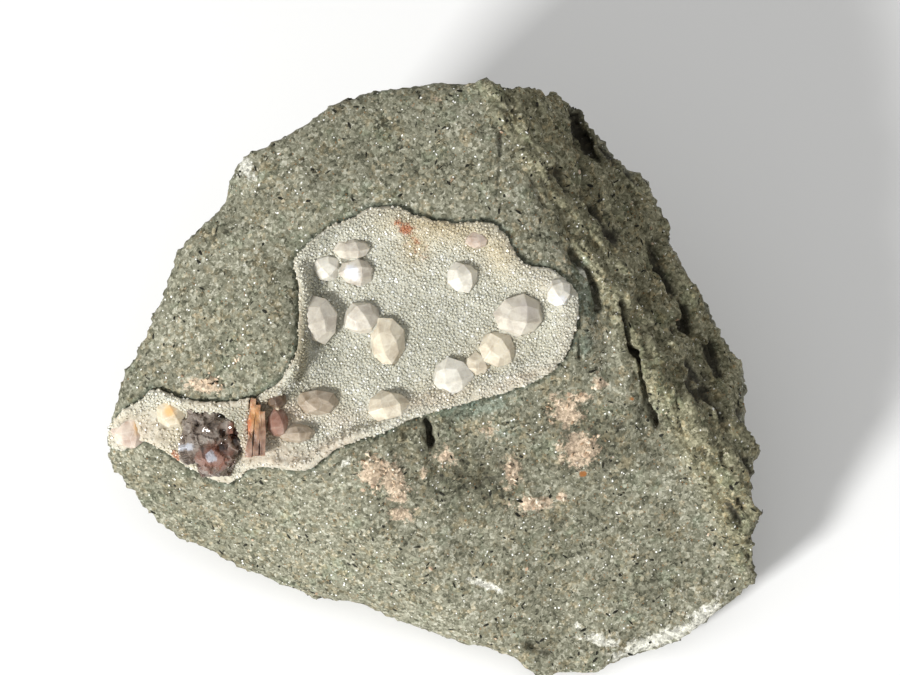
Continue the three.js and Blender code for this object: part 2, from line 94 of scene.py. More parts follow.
# Smooth noise between -1 and 1 with lumps of about the given size, in the units of the points.
def lumps(points, size, seed=0):
    scaled = np.asarray(points) / size + 13.7 * seed
    cell = np.floor(scaled).astype(np.int64)
    inside = scaled - cell
    fade = inside ** 3 * (inside * (inside * 6 - 15) + 10)
    total = np.zeros(len(scaled))
    for corner in itertools.product((0, 1), repeat=3):
        total += (hashed(cell + corner) * 2 - 1) * np.prod(np.where(corner, fade, 1 - fade), axis=1)
    return total


# Flat tilted chips of about the given size: each place has the height of the chip whose middle is nearest.
def chips(points, size, seed=0):
    scaled = np.asarray(points) / size + 13.7 * seed
    cell = np.floor(scaled).astype(np.int64)
    nearest = np.full(len(scaled), np.inf)
    height = np.zeros(len(scaled))
    for step in itertools.product((-1, 0, 1), repeat=3):
        there = cell + step
        apart = scaled - there - np.stack([hashed(there, i) for i in (1, 2, 3)], axis=1)
        tilt = np.stack([hashed(there, i) for i in (4, 5, 6)], axis=1) * 2 - 1
        far = (apart ** 2).sum(axis=1)
        closer = far < nearest
        nearest = np.where(closer, far, nearest)
        height = np.where(closer, (apart * tilt).sum(axis=1) + hashed(there, 7) - 0.5, height)
    return height


def ridges(points, size, seed=0):
    return 1 - 2 * np.abs(lumps(points, size, seed))


def layered(points, size, octaves, seed=0):
    return sum(lumps(points, size / 2 ** i, seed + i) / 2 ** i for i in range(octaves))


# How strongly each photo pixel lies in a list of soft patches. A patch has its middle, its reach along and
# across, its turn and its strength.
def patches(pixels, spots):
    strongest = np.zeros(len(pixels))
    for (x, y), (along, across), turn, strength in spots:
        cos, sin = math.cos(math.radians(turn)), math.sin(math.radians(turn))
        dx, dy = pixels[:, 0] - x, pixels[:, 1] - y
        far = ((dx * cos + dy * sin) / along) ** 2 + ((dy * cos - dx * sin) / across) ** 2
        strongest = np.maximum(strongest, strength * np.exp(-far))
    return strongest


# Distance of each photo pixel from a line of pixels.
def farFrom(pixels, line):
    nearest = np.full(len(pixels), np.inf)
    for a, b in zip(line, line[1:]):
        a, b = np.array(a, float), np.array(b, float)
        along = np.clip(((pixels - a) @ (b - a)) / ((b - a) @ (b - a)), 0, 1)
        nearest = np.minimum(nearest, np.linalg.norm(pixels - a - along[:, None] * (b - a), axis=1))
    return nearest


# Meshes

def cleanCopy(name):
    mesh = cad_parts[name].data.copy()
    form = bmesh.new()
    form.from_mesh(mesh)
    bmesh.ops.remove_doubles(form, verts=form.verts, dist=1e-6)
    form.to_mesh(mesh)
    form.free()
    return mesh


def addObject(name, mesh):
    made = bpy.data.objects.new(name, mesh)
    bpy.context.scene.collection.objects.link(made)
    return made


# The object's mesh with its modifiers applied, and no modifier left.
def settled(made):
    bpy.context.view_layer.update()
    result = bpy.data.meshes.new_from_object(made.evaluated_get(bpy.context.evaluated_depsgraph_get()))
    made.modifiers.clear()
    made.data = result
    return made


def voxelForm(name, mesh, voxel, smoothing):
    made = addObject(name, mesh)
    remesh = made.modifiers.new("voxels", "REMESH")
    remesh.mode = "VOXEL"
    remesh.voxel_size = voxel
    soften = made.modifiers.new("soften", "SMOOTH")
    soften.iterations = smoothing
    return settled(made)


def places(mesh):
    values = np.empty(len(mesh.vertices) * 3)
    mesh.vertices.foreach_get("co", values)
    return values.reshape(-1, 3)


def outwards(mesh):
    values = np.empty(len(mesh.vertices) * 3)
    mesh.vertices.foreach_get("normal", values)
    return values.reshape(-1, 3)


def move(mesh, points):
    mesh.vertices.foreach_set("co", np.ascontiguousarray(points).ravel())
    mesh.update()


def keepValue(mesh, name, values):
    kept = mesh.attributes.new(name, "FLOAT", "POINT")
    kept.data.foreach_set("value", np.ascontiguousarray(values, dtype=float))


def shadeSmooth(mesh, smooth=True):
    mesh.polygons.foreach_set("use_smooth", [smooth] * len(mesh.polygons))


def finishPiece(made, material=None, nodes=()):
    if material:
        made.data.materials.clear()
        made.data.materials.append(material)
    if nodes:
        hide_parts(*nodes)
    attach(made, "root")
    print("made", made.name, len(made.data.polygons), "faces")


def treeOver(mesh):
    form = bmesh.new()
    form.from_mesh(mesh)
    tree = BVHTree.FromBMesh(form)
    form.free()
    return tree


def distances(tree, points):
    return np.array([tree.find_nearest(Vector(point))[3] for point in points])


# Distances that are below zero inside the form.
def depths(tree, points):
    found = []
    for point in points:
        place, normal, _, far = tree.find_nearest(Vector(point))
        found.append(far if (Vector(point) - place).dot(normal) > 0 else -far)
    return np.array(found)


# Node trees

def addNode(tree, kind, inputs=None, **settings):
    node = tree.nodes.new(kind)
    for name, value in settings.items():
        setattr(node, name, value)
    for name, value in (inputs or {}).items():
        if isinstance(value, bpy.types.NodeSocket):
            tree.links.new(value, node.inputs[name])
        else:
            node.inputs[name].default_value = value
    return node


def newMaterial(name):
    material = bpy.data.materials.new(name)
    material.use_nodes = True
    material.node_tree.nodes.clear()
    return material


def maths(tree, operation, *values, clamp=False):
    node = addNode(tree, "ShaderNodeMath", dict(enumerate(values)), operation=operation, use_clamp=clamp)
    return node.outputs[0]


def times(tree, value, amount):
    return maths(tree, "MULTIPLY", value, amount)


# A value between 0 and 1 made to swing about zero, as far as the amount says.
def aboutZero(tree, value, amount):
    return times(tree, maths(tree, "SUBTRACT", value, 0.5), amount)


def blendColor(tree, share, below, above, kind="MIX"):
    node = addNode(tree, "ShaderNodeMix", {"Factor": share, 6: below, 7: above},
                   data_type="RGBA", blend_type=kind)
    return node.outputs[2]


# The colour multiplied by a factor, as far as the share says.
def tinge(tree, share, color, factor):
    return blendColor(tree, share, color, blendColor(tree, 1.0, color, (*factor, 1), "MULTIPLY"))


def between(tree, value, low, high):
    node = addNode(tree, "ShaderNodeMapRange", {"Value": value, "From Min": low, "From Max": high},
                   interpolation_type="SMOOTHSTEP")
    return node.outputs[0]


def noiseOver(tree, where, size, detail=3.0, rough=0.6):
    node = addNode(tree, "ShaderNodeTexNoise", {"Vector": where, "Scale": 1 / size, "Detail": detail,
                                                "Roughness": rough})
    return node.outputs[0]


def grainsOver(tree, where, size, feature="F1"):
    return addNode(tree, "ShaderNodeTexVoronoi", {"Vector": where, "Scale": 1 / size}, feature=feature)


def objectPlace(tree):
    return addNode(tree, "ShaderNodeTexCoord").outputs["Object"]


def valueOf(tree, name):
    return addNode(tree, "ShaderNodeAttribute", attribute_name=name).outputs["Fac"]


def ramp(tree, value, stops):
    node = addNode(tree, "ShaderNodeValToRGB", {"Fac": value})
    elements = node.color_ramp.elements
    while len(elements) < len(stops):
        elements.new(0.5)
    for element, (position, color) in zip(elements, stops):
        element.position = position
        element.color = (*color, 1)
    return node.outputs[0]


def closeWith(tree, shader, volume=None):
    output = addNode(tree, "ShaderNodeOutputMaterial", {"Surface": shader})
    if volume:
        tree.links.new(volume, output.inputs["Volume"])


def setInputs(modifier, values):
    tree = modifier.node_group
    for item in tree.interface.items_tree:
        if item.item_type == "SOCKET" and item.in_out == "INPUT" and item.name in values:
            modifier[item.identifier] = values[item.name]


# Grains scattered over a surface: each is set upright on it, spun about its normal, and tumbled.
def scatterTree():
    tree = bpy.data.node_groups.new("scatter grains", "GeometryNodeTree")
    sockets = {"Geometry": "NodeSocketGeometry", "Grain": "NodeSocketObject", "Spacing": "NodeSocketFloat",
               "Crowding": "NodeSocketFloat", "Smallest": "NodeSocketVector", "Largest": "NodeSocketVector",
               "Along": "NodeSocketVector", "Spin": "NodeSocketFloat", "Tumble": "NodeSocketFloat",
               "Seed": "NodeSocketInt", "Finish": "NodeSocketMaterial"}
    for name, kind in sockets.items():
        tree.interface.new_socket(name, in_out="INPUT", socket_type=kind)
    tree.interface.new_socket("Geometry", in_out="OUTPUT", socket_type="NodeSocketGeometry")
    given = addNode(tree, "NodeGroupInput").outputs
    share = addNode(tree, "GeometryNodeInputNamedAttribute", {"Name": "scatter"},
                    data_type="FLOAT").outputs[0]
    points = addNode(tree, "GeometryNodeDistributePointsOnFaces", {
        "Mesh": given["Geometry"], "Distance Min": given["Spacing"], "Density Max": given["Crowding"],
        "Density Factor": share, "Seed": given["Seed"]}, distribute_method="POISSON")
    size = addNode(tree, "FunctionNodeRandomValue", {
        0: given["Smallest"], 1: given["Largest"], "Seed": given["Seed"]},
        data_type="FLOAT_VECTOR").outputs[0]
    upright = addNode(tree, "FunctionNodeAlignRotationToVector", {
        "Rotation": points.outputs["Rotation"], "Vector": given["Along"]}, axis="X", pivot_axis="Z")
    left = times(tree, given["Spin"], -1.0)
    spin = addNode(tree, "FunctionNodeRandomValue", {
        2: left, 3: given["Spin"], "Seed": given["Seed"]}, data_type="FLOAT").outputs[1]
    about = addNode(tree, "FunctionNodeAxisAngleToRotation", {"Axis": (0, 0, 1), "Angle": spin})
    spun = addNode(tree, "FunctionNodeRotateRotation", {0: upright.outputs[0], 1: about.outputs[0]},
                   rotation_space="LOCAL")
    back = times(tree, given["Tumble"], -1.0)
    lowest = addNode(tree, "ShaderNodeCombineXYZ", {0: back, 1: back, 2: back}).outputs[0]
    highest = addNode(tree, "ShaderNodeCombineXYZ", {
        0: given["Tumble"], 1: given["Tumble"], 2: given["Tumble"]}).outputs[0]
    tumble = addNode(tree, "FunctionNodeRandomValue", {
        0: lowest, 1: highest, "Seed": given["Seed"]}, data_type="FLOAT_VECTOR").outputs[0]
    tumbled = addNode(tree, "FunctionNodeRotateRotation", {0: spun.outputs[0], 1: tumble},
                      rotation_space="LOCAL")
    grain = addNode(tree, "GeometryNodeObjectInfo", {"Object": given["Grain"]}).outputs["Geometry"]
    grains = addNode(tree, "GeometryNodeInstanceOnPoints", {
        "Points": points.outputs["Points"], "Instance": grain, "Rotation": tumbled.outputs[0], "Scale": size})
    tint = addNode(tree, "FunctionNodeRandomValue", {"Seed": given["Seed"]}, data_type="FLOAT").outputs[1]
    tinted = addNode(tree, "GeometryNodeStoreNamedAttribute", {
        "Geometry": grains.outputs[0], "Name": "tint", "Value": tint}, data_type="FLOAT", domain="INSTANCE")
    real = addNode(tree, "GeometryNodeRealizeInstances", {"Geometry": tinted.outputs[0]})
    coated = addNode(tree, "GeometryNodeSetMaterial", {
        "Geometry": real.outputs[0], "Material": given["Finish"]})
    addNode(tree, "NodeGroupOutput", {"Geometry": coated.outputs[0]})
    return tree


scatter = scatterTree()


def scatterOver(name, mesh, share, grain, settings, material):
    surface = mesh.copy()
    keepValue(surface, "scatter", share)
    made = addObject(name, surface)
    modifier = made.modifiers.new("scatter", "NODES")
    modifier.node_group = scatter
    setInputs(modifier, {
        "Grain": grain, "Spacing": settings["spacing"] * mm, "Crowding": settings["crowding"] / mm ** 2,
        "Smallest": [size * mm for size in settings["smallest"]],
        "Largest": [size * mm for size in settings["largest"]],
        "Along": list(turnFace([(1, 0, 0)], 1)[0]), "Spin": math.pi,
        "Tumble": math.radians(settings["tumble"]), "Seed": settings["seed"], "Finish": material})
    return settled(made)


# Crystal shapes

def hullMesh(name, corners):
    form = bmesh.new()
    for corner in corners:
        form.verts.new(corner)
    bmesh.ops.convex_hull(form, input=form.verts)
    bmesh.ops.dissolve_limit(form, angle_limit=math.radians(1), verts=form.verts, edges=form.edges)
    bmesh.ops.recalc_face_normals(form, faces=form.faces)
    mesh = bpy.data.meshes.new(name)
    form.to_mesh(mesh)
    form.free()
    return mesh


# Analcime's own form: corners on its axes, its edges and its diagonals. One unit across.
trapezohedronCorners = [
    Vector(corner) * (0.5 / (1, 1.5, 2)[sum(map(abs, corner)) - 1])
    for corner in itertools.product((-1, 0, 1), repeat=3) if any(corner)
]


def grainObject(name, corners):
    grain = addObject(name, hullMesh(name, corners))
    grain.hide_render = True
    grain.hide_viewport = True
    return grain


# Rock

rock = {
    "voxel": 0.95, "smoothing": 3,
    "relief": {  # size and height of each kind of unevenness, in mm
        "broad": (7.0, 0.3), "hackles": (3.4, 0.34), "granules": (1.25, 0.26), "chips": (2.3, 0.34),
        "splinters": (1.1, 0.34), "flankRidges": (4.6, 0.8), "flankGrooves": (1.8, 0.8),
        "flankChips": (1.7, 0.62),
    },
    "flankFrom": 28.5, "flankTo": 33.0, "flankAngle": 29, "drawnOut": 3.6, "margin": (0.5, 1.1),
    # deep and the setting after it: the depths in mm, below the fine relief, over which painted shade in the
    # crevices grows from none to full, on even rock and on rough rock.
    "deep": (0.1, 0.75), "paintedShadeWhereRough": (-0.08, 0.5), "closing": 0.2, "crackReach": 6.5, "crusted": 0.4,
}
cracks = [  # line in photo pixels, half width and depth in mm
    ([(571, 103), (578, 125), (588, 150)], 1.3, 1.7),
    ([(508, 84), (507, 110), (501, 140), (500, 165), (497, 200)], 0.35, 0.5),
    ([(621, 303), (625, 322), (630, 345), (634, 355)], 0.42, 2.4),
    ([(637, 352), (643, 376), (648, 404), (657, 426)], 0.42, 2.3),
    ([(683, 308), (687, 336)], 0.6, 1.8),
    ([(672, 388), (678, 408)], 0.35, 0.9),
    ([(645, 255), (650, 268), (661, 272), (668, 285)], 0.6, 1.0),
    ([(700, 320), (712, 345), (722, 372)], 0.5, 0.9),
    ([(562, 100), (569, 120), (571, 136), (581, 158)], 0.4, 0.8),
    ([(579, 160), (583, 186), (580, 205)], 0.4, 0.9),
    ([(426, 414), (428, 428), (431, 446)], 0.3, 1.7),
    ([(573, 250), (588, 270), (595, 290), (598, 308)], 0.65, 1.7),
    ([(579, 334), (580, 358)], 0.35, 1.0),
    ([(262, 462), (300, 474), (330, 474), (352, 452), (385, 436), (427, 420)], 0.4, 0.5),
]
pits = [  # photo pixels, reach in pixels, turn, depth in mm
    ((590, 207), (6, 5), 0, 1.4), ((612, 236), (6, 4), 30, 0.9), ((402, 436), (17, 8), -15, -0.9),
    ((452, 412), (10, 9), 0, 0.6), ((640, 300), (9, 12), 30, 0.9), ((676, 330), (8, 14), 40, 1.0),
    ((700, 392), (8, 12), 30, 0.8), ((620, 180), (8, 10), 30, 0.8), ((655, 238), (7, 11), 30, 0.9),
    ((722, 452), (8, 11), 0, 0.8), ((533, 645), (8, 5), 20, 1.4), ((548, 652), (6, 4), 0, 1.0),
]
rockColors = {
    "zeolite": [  # peach patches of earlier zeolite on the rock
        ((373, 472), (15, 18), 0, 1.0), ((395, 482), (13, 24), -18, 0.95), ((402, 514), (15, 9), 10, 0.9),
        ((446, 456), (14, 9), 0, 0.75), ((424, 474), (8, 7), 0, 0.6), ((486, 430), (7, 11), 30, 0.6),
        ((565, 413), (18, 18), 0, 0.85), ((575, 417), (9, 10), 0, 1.0), ((578, 450), (21, 18), 0, 1.0),
        ((600, 383), (8, 9), 0, 0.85), ((512, 471), (10, 17), 10, 0.9), ((533, 504), (22, 9), -5, 0.9),
        ((562, 498), (6, 6), 0, 0.8), ((578, 397), (14, 6), 0, 0.8), ((205, 385), (22, 10), 0, 0.9),
        ((434, 99), (8, 5), 0, 0.55),
    ],
    "scuff": [  # bruised white rock and a white vein
        ((246, 168), (12, 12), -40, 0.95), ((252, 176), (10, 5), 0, 0.8), ((484, 585), (26, 5), 20, 0.95),
        ((640, 648), (34, 7), -6, 0.8), ((690, 628), (26, 9), -35, 0.8), ((592, 636), (18, 6), 20, 0.65),
        ((722, 590), (10, 16), 20, 0.55), ((655, 641), (62, 9), -20, 1.0), ((700, 618), (30, 12), -38, 0.9),
        ((600, 640), (26, 8), 10, 0.8), ((346, 462), (9, 9), 0, 0.65), ((583, 272), (5, 8), -30, 0.9),
        ((590, 198), (10, 7), 0, 0.55), ((574, 624), (16, 5), 30, 0.6),
    ],
    "blueGrey": [
        ((578, 268), (13, 14), 0, 0.9), ((588, 300), (12, 28), -8, 1.0), ((583, 345), (12, 18), 0, 0.8),
        ((480, 408), (60, 12), -12, 0.8), ((384, 432), (30, 10), -30, 0.6), ((520, 236), (22, 8), 20, 0.5),
        ((235, 390), (20, 12), 0, 0.5), ((510, 430), (26, 20), 0, 0.6),
    ],
    # Darker rock; the patch at (581, 133) is painted shadow in the notch under the crown.
    "dark": [
        ((470, 475), (90, 34), 5, 0.85), ((600, 440), (60, 40), 0, 0.65), ((420, 440), (46, 26), 0, 0.7),
        ((402, 434), (18, 9), -15, 1.0), ((581, 133), (15, 24), -20, 1.0), ((560, 520), (60, 26), 0, 0.45),
    ],
    "rust": [
        ((583, 474), (5, 4), 0, 1.0), ((632, 399), (4, 3), 0, 0.8), ((508, 411), (4, 4), 0, 0.6),
        ((434, 99), (6, 5), 0, 0.5), ((360, 510), (4, 3), 0, 0.6),
    ],
}


def rockMaterial():
    material = newMaterial("basalt")
    tree = material.node_tree
    place = objectPlace(tree)
    bend = addNode(tree, "ShaderNodeTexNoise", {"Vector": place, "Scale": 1 / 0.0009, "Detail": 3.0})
    away = addNode(tree, "ShaderNodeVectorMath", {0: bend.outputs["Color"], 1: (0.5, 0.5, 0.5)},
                   operation="SUBTRACT")
    small = addNode(tree, "ShaderNodeVectorMath", {0: away.outputs[0], "Scale": 0.0007}, operation="SCALE")
    where = addNode(tree, "ShaderNodeVectorMath", {0: place, 1: small.outputs[0]}).outputs[0]

    coarse = addNode(tree, "ShaderNodeSeparateColor", {0: grainsOver(tree, where, 0.00062).outputs["Color"]})
    fine = grainsOver(tree, where, 0.00036)
    chosen = addNode(tree, "ShaderNodeSeparateColor", {0: fine.outputs["Color"]})
    grain = maths(tree, "ADD", times(tree, coarse.outputs[0], 0.52), times(tree, chosen.outputs[1], 0.48))
    broad = noiseOver(tree, place, 0.012, 3.0, 0.55)
    shade = maths(tree, "ADD", grain, aboutZero(tree, broad, 0.5))
    color = ramp(tree, shade, [
        (0.04, (0.040, 0.040, 0.024)), (0.26, (0.118, 0.116, 0.076)), (0.5, (0.192, 0.188, 0.132)),
        (0.74, (0.285, 0.279, 0.205)), (0.96, (0.46, 0.45, 0.36))])
    brown = between(tree, maths(tree, "ADD", noiseOver(tree, where, 0.0034, 4.0, 0.7),
                                aboutZero(tree, coarse.outputs[1], 0.3)), 0.52, 0.72)
    color = tinge(tree, times(tree, brown, 0.38), color, (1.28, 0.98, 0.66))
    green = between(tree, noiseOver(tree, place, 0.0052, 4.0, 0.7), 0.52, 0.7)
    color = tinge(tree, times(tree, green, 0.5), color, (0.82, 0.97, 0.9))

    # The dark mask darkens darker rock and also paints the shadow in the notch.
    for mask, amount, factor in (("dark", 0.8, (0.5, 0.49, 0.42)), ("flank", 0.7, (1.08, 1.03, 0.86)),
                                 ("margin", 0.75, (0.42, 0.50, 0.50))):
        color = tinge(tree, times(tree, valueOf(tree, mask), amount), color, factor)
    blue = between(tree, maths(tree, "ADD", valueOf(tree, "blueGrey"),
                               aboutZero(tree, noiseOver(tree, where, 0.0011), 1.2)), 0.4, 0.75)
    color = tinge(tree, times(tree, blue, 0.55), color, (0.68, 0.90, 0.98))

    near = between(tree, fine.outputs["Distance"], 0.5, 0.3)
    black = between(tree, noiseOver(tree, where, 0.0012, 4.0, 0.75), 0.655, 0.685)
    color = blendColor(tree, times(tree, black, 0.95), color, (0.010, 0.010, 0.007, 1))
    pale = times(tree, maths(tree, "GREATER_THAN", chosen.outputs[0], 0.94), near)
    color = blendColor(tree, times(tree, pale, 0.6), color, (0.55, 0.54, 0.44, 1))
    # Painted glints: a few fine grains are painted near white, standing in for sparkle off tiny facets.
    glint = times(tree, maths(tree, "GREATER_THAN", chosen.outputs[0], 0.984), near)
    color = blendColor(tree, glint, color, (0.95, 0.95, 0.9, 1))
    amber = times(tree, maths(tree, "GREATER_THAN", chosen.outputs[2], 0.972), near)
    color = blendColor(tree, times(tree, amber, 0.7), color, (0.24, 0.12, 0.04, 1))

    ragged = aboutZero(tree, noiseOver(tree, where, 0.0016, 6.0, 0.8), 2.6)
    for name, fill, low in (("scuff", (0.62, 0.61, 0.53), 0.46), ("zeolite", (0.52, 0.40, 0.28), 0.34)):
        share = between(tree, maths(tree, "ADD", valueOf(tree, name), ragged), low, low + 0.3)
        shaded = tuple(part * 0.6 for part in fill)
        lit = tuple(part * 1.35 + 0.06 for part in fill)
        spotted = ramp(tree, grain, [(0.2, shaded), (0.5, fill), (0.8, lit)])
        color = blendColor(tree, times(tree, share, 0.85), color, spotted)
    stain = between(tree, maths(tree, "ADD", valueOf(tree, "rust"), times(tree, ragged, 0.25)), 0.45, 0.7)
    color = blendColor(tree, times(tree, stain, 0.9), color, (0.30, 0.11, 0.02, 1))
    # Painted shade: crevices and low places of the fine relief are darkened almost to black, where shadow
    # would fall.
    color = blendColor(tree, times(tree, valueOf(tree, "deep"), 0.85), color, (0.012, 0.010, 0.006, 1))

    rough = addNode(tree, "ShaderNodeBump", {
        "Height": noiseOver(tree, where, 0.0007, 5.0, 0.75), "Distance": 0.0003, "Strength": 1.0})
    facets = addNode(tree, "ShaderNodeBump", {
        "Height": chosen.outputs[2], "Distance": 0.00007, "Strength": 0.7, "Normal": rough.outputs[0]})
    shine = maths(tree, "SUBTRACT", 0.78, times(tree, pale, 0.5))
    shader = addNode(tree, "ShaderNodeBsdfPrincipled", {
        "Base Color": color, "Roughness": shine, "Normal": facets.outputs[0], "Specular IOR Level": 0.35})
    closeWith(tree, shader.outputs[0])
    return material


# Finer faces on the side that is seen from the front, or only near its cracks.
def refine(mesh, nearCracks=None):
    form = bmesh.new()
    form.from_mesh(mesh)
    towardsEye = Vector(turnFace([(0, 0, 1)], 1)[0])
    chosen = [face for face in form.faces if face.normal.dot(towardsEye) > 0.12]
    if nearCracks is not None:
        middles = toPhoto(toFace([face.calc_center_median() for face in chosen]))
        far = np.min([farFrom(middles, line) for line, _, _ in cracks], axis=0)
        chosen = [face for face, apart in zip(chosen, far) if apart < nearCracks]
    edges = list({edge for face in chosen for edge in face.edges})
    bmesh.ops.subdivide_edges(form, edges=edges, cuts=1, use_grid_fill=True, smooth=0.6)
    bmesh.ops.triangulate(form, faces=[face for face in form.faces if len(face.verts) > 4])
    form.to_mesh(mesh)
    form.free()


def makeRock():
    made = voxelForm("basalt_rock", cleanCopy("basalt"), rock["voxel"] * mm, rock["smoothing"])
    mesh = made.data
    refine(mesh)
    refine(mesh, rock["crackReach"])
    points, normals = places(mesh), outwards(mesh)
    face = toFace(points)
    pixels = toPhoto(face)
    front = smoothStep(turnFace(normals, -1)[:, 2], 0.05, 0.3)
    clear = distances(treeOver(cleanCopy("analcime_crust")), points) / mm
    aboveFoot = smoothStep(points[:, 2] / mm, 0.3, 2.5)

    angle = math.radians(rock["flankAngle"])
    across = face[:, 0] * math.cos(angle) + face[:, 1] * math.sin(angle)
    along = face[:, 1] * math.cos(angle) - face[:, 0] * math.sin(angle)
    flank = smoothStep(across, rock["flankFrom"], rock["flankTo"])
    drawn = np.stack([across, along / rock["drawnOut"], face[:, 2] / 2], axis=1)
    rough = np.maximum(flank, patches(pixels, rockColors["dark"]) * front)
    rough = np.maximum(rough, 0.75 * (1 - front))

    size = {name: pair[0] for name, pair in rock["relief"].items()}
    height = {name: pair[1] for name, pair in rock["relief"].items()}
    rise = height["broad"] * layered(face, size["broad"], 2, 1)
    rise += height["hackles"] * (0.4 + 0.6 * rough) * layered(face, size["hackles"], 3, 3)
    grainy = 1 - 2.4 * np.abs(layered(face, size["granules"], 2, 9))
    fine = height["granules"] * (0.45 + 0.55 * rough) * grainy * -0.5
    fine += height["chips"] * (0.25 + 0.75 * rough) * chips(face, size["chips"], 4)
    fine += height["splinters"] * rough * chips(drawn, size["splinters"], 8)
    fine += flank * height["flankRidges"] * ridges(drawn, size["flankRidges"], 5)
    fine += flank * height["flankGrooves"] * ridges(drawn, size["flankGrooves"], 6)
    fine += flank * height["flankChips"] * chips(drawn, size["flankChips"], 7)
    for line, width, depth in cracks:
        wander = 1.1 * lumps(face, 1.3, 11)
        apart = (farFrom(pixels, line) + wander) * photo["mmPerPixel"]
        fine -= front * depth * np.exp(-(apart / width) ** 2)
    for at, reach, turn, depth in pits:
        fine -= front * depth * patches(pixels, [(at, reach, turn, 1.0)])
    peach = patches(pixels, rockColors["zeolite"]) + 0.35 * layered(face, 2.2, 3, 27)
    rise += front * rock["crusted"] * smoothStep(peach, 0.35, 0.75)
    free = smoothStep(clear, 0.45, 2.2)
    closing = rock["closing"] * (1 - smoothStep(clear, 0.35, 0.8))
    closing *= smoothStep(lumps(face, 3.0, 17), -0.5, 0.3)
    rise = (rise + fine) * free * aboveFoot + closing
    moved = points + normals * rise[:, None] * mm
    moved[:, 2] = np.maximum(moved[:, 2], 0.0)
    move(mesh, moved)

    for name, spots in rockColors.items():
        keepValue(mesh, name, patches(pixels, spots) * front)
    # Painted shade in the crevices: the deeper a place lies in the fine relief, the darker it is painted.
    even, broken = smoothStep(-fine, *rock["deep"]), smoothStep(-fine, *rock["paintedShadeWhereRough"])
    keepValue(mesh, "deep", (0.35 * even + (broken - 0.35 * even) * rough) * free)
    keepValue(mesh, "flank", flank * front)
    keepValue(mesh, "margin", 1 - smoothStep(clear, *rock["margin"]))
    shadeSmooth(mesh)
    finishPiece(made, rockMaterial(), ["basalt"])
    return mesh, pixels, front, clear


# Black pyroxene in the rock, and the peach zeolite on it

needles = {
    "spacing": 0.6, "crowding": 0.11, "smallest": (0.25, 0.14, 0.1), "largest": (1.6, 0.6, 0.2),
    "tumble": 6, "seed": 3,
}
zeoliteGrains = {
    "spacing": 0.5, "crowding": 1.6, "smallest": (0.35, 0.35, 0.25), "largest": (1.3, 1.1, 0.6),
    "tumble": 180, "seed": 12,
}


def needleMaterial():
    material = newMaterial("black pyroxene")
    tree = material.node_tree
    color = ramp(tree, noiseOver(tree, objectPlace(tree), 0.0004), [
        (0.35, (0.005, 0.005, 0.003)), (0.7, (0.03, 0.029, 0.02))])
    shader = addNode(tree, "ShaderNodeBsdfPrincipled", {
        "Base Color": color, "Roughness": 0.6, "Specular IOR Level": 0.15})
    closeWith(tree, shader.outputs[0])
    return material


def zeoliteMaterial():
    material = newMaterial("zeolite")
    tree = material.node_tree
    cloudy = maths(tree, "ADD", times(tree, valueOf(tree, "tint"), 0.6),
                   times(tree, noiseOver(tree, objectPlace(tree), 0.002), 0.4))
    color = ramp(tree, cloudy, [
        (0.15, (0.27, 0.18, 0.11)), (0.4, (0.47, 0.34, 0.23)), (0.65, (0.60, 0.49, 0.36)),
        (0.9, (0.72, 0.66, 0.54))])
    shader = addNode(tree, "ShaderNodeBsdfPrincipled", {
        "Base Color": color, "Roughness": 0.5, "Subsurface Weight": 0.3, "Subsurface Radius": (1.0, 0.7, 0.5),
        "Subsurface Scale": 0.0005})
    closeWith(tree, shader.outputs[0])
    return material


def makeRockGrains(mesh, pixels, front, clear):
    face = toFace(places(mesh))
    ends = [(-0.5, 0.05, 0), (0.5, -0.08, 0)]
    sides = [
        (-0.3, 0.42, 0.1), (0.08, 0.5, 0.2), (0.36, 0.2, 0.1), (0.2, -0.46, 0.2), (-0.16, -0.34, 0.3),
        (0, 0, 0.5), (-0.36, -0.2, -0.4), (0.3, 0.1, -0.4),
    ]
    share = smoothStep(clear, 1.2, 2.0) * smoothStep(places(mesh)[:, 2] / mm, 1.5, 3.0)
    share *= smoothStep(layered(face, 5.0, 3, 29), -0.9, 0.7)
    needle = grainObject("needle", ends + sides)
    finishPiece(scatterOver("black_needles", mesh, share, needle, needles, needleMaterial()))
    lump = [
        (0.5, 0.1, 0), (-0.5, 0, 0.1), (0.1, 0.5, 0), (0, -0.5, -0.1), (0.1, 0, 0.5), (0.3, 0.3, 0.3),
        (-0.3, -0.3, 0.3), (0, 0.1, -0.5), (0.3, -0.3, 0.2), (-0.3, 0.35, -0.1),
    ]
    ragged = patches(pixels, rockColors["zeolite"]) + 0.55 * layered(face, 1.8, 3, 27)
    peach = smoothStep(ragged, 0.5, 0.8) * front
    grain = grainObject("zeolite_grain", lump)
    finishPiece(scatterOver("peach_zeolite", mesh, peach, grain, zeoliteGrains, zeoliteMaterial()))


# Crust of small crystals

